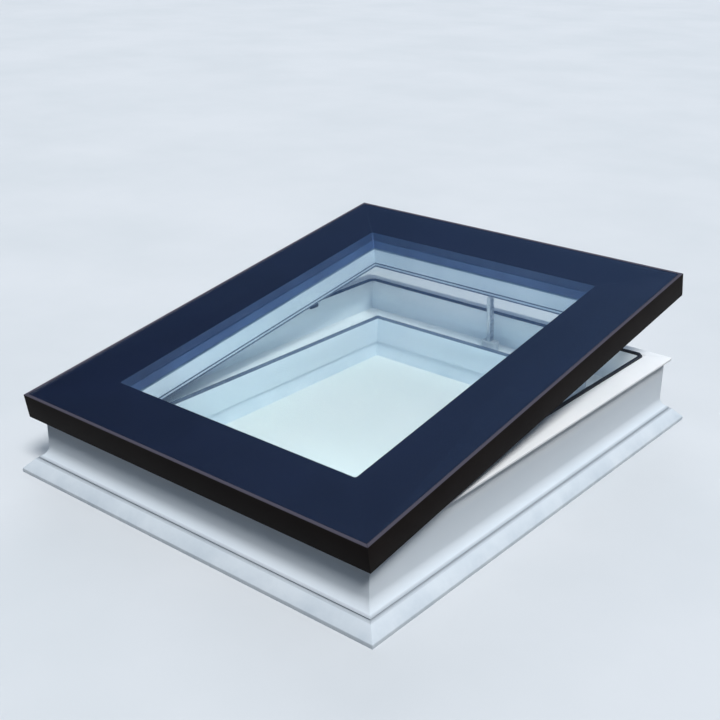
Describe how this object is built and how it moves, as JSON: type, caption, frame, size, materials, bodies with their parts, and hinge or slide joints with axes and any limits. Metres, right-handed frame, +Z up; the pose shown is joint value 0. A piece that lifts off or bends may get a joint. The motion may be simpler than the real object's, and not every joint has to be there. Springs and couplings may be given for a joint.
{
  "type": "roof skylight",
  "caption": "Flat-roof skylight: glazed sash hinged on a flared kerb frame and held open by a push chain.",
  "frame": {"origin": "middle of the underside of the kerb's foot", "axes": "+X along the hinges, +Y from the hinge side to the opening side, +Z up"},
  "size_m": [0.94, 1.14, 0.3627],
  "materials": {
    "white_plastic": "satin",
    "black_rubber": "matte",
    "grey_tape": "matte",
    "black_plastic": "matte",
    "grey_plastic": "matte",
    "dark_cover": "powder coated",
    "clear_glass": "clear",
    "dark_enamel": "gloss",
    "spacer_bar": "satin",
    "zinc_steel": "satin"
  },
  "bodies": {
    "kerb": {"kerb_frame": "white_plastic", "rim_gasket": "black_rubber", "nib_gasket": "black_rubber", "locating_blocks": "black_plastic", "hinge_frame_leaves": "zinc_steel", "hinge_pins": "zinc_steel", "hinge_frame_screws": "zinc_steel", "drive_housing": "black_plastic", "drive_cover": "white_plastic", "drive_cover_screws": "zinc_steel", "drive_motor": "zinc_steel", "drive_gearbox": "black_plastic", "outlet_guide": "grey_plastic", "push_chain": "zinc_steel", "cable_grommet": "black_rubber"},
    "sprocket": {"drive_sprocket": "zinc_steel"},
    "sash": {"sash_frame": "white_plastic", "sash_cover": "dark_cover", "outer_pane": "clear_glass", "edge_enamel": "dark_enamel", "middle_pane": "clear_glass", "inner_pane": "clear_glass", "upper_spacer": "spacer_bar", "lower_spacer": "spacer_bar", "edge_seals": "black_rubber", "bonding_seal": "black_rubber", "glazing_tape": "grey_tape", "setting_blocks": "black_plastic", "sash_lip_seal": "black_rubber", "sash_base_seal": "black_rubber", "hinge_sash_leaves": "zinc_steel", "hinge_sash_screws": "zinc_steel", "chain_bracket": "zinc_steel", "bracket_screws": "zinc_steel", "chain_pin": "zinc_steel"},
    "chain_head": {"chain_head": "zinc_steel"}
  },
  "joints": [
    {"name": "sash_hinge", "type": "hinge", "parent": "kerb", "child": "sash", "pos_m": [0, -0.481, 0.118], "axis": [1, 0, 0], "range_deg": [-9.6, 0], "deforming": ["push_chain"]},
    {"name": "chain_head_pivot", "type": "hinge", "parent": "sash", "child": "chain_head", "pos_m": [0.015, 0.4317, 0.2744], "axis": [1, 0, 0], "range_deg": [0, 5]},
    {"name": "sprocket_spin", "type": "hinge", "parent": "kerb", "child": "sprocket", "pos_m": [0.00027, 0.445, 0.05962], "axis": [0, 1, 0], "range_deg": [0, 604]}
  ],
  "couplings": [
    {"joint": "chain_head_pivot", "follows": "sash_hinge", "ratio": -0.5182},
    {"joint": "sprocket_spin", "follows": "sash_hinge", "ratio": -62.78}
  ]
}
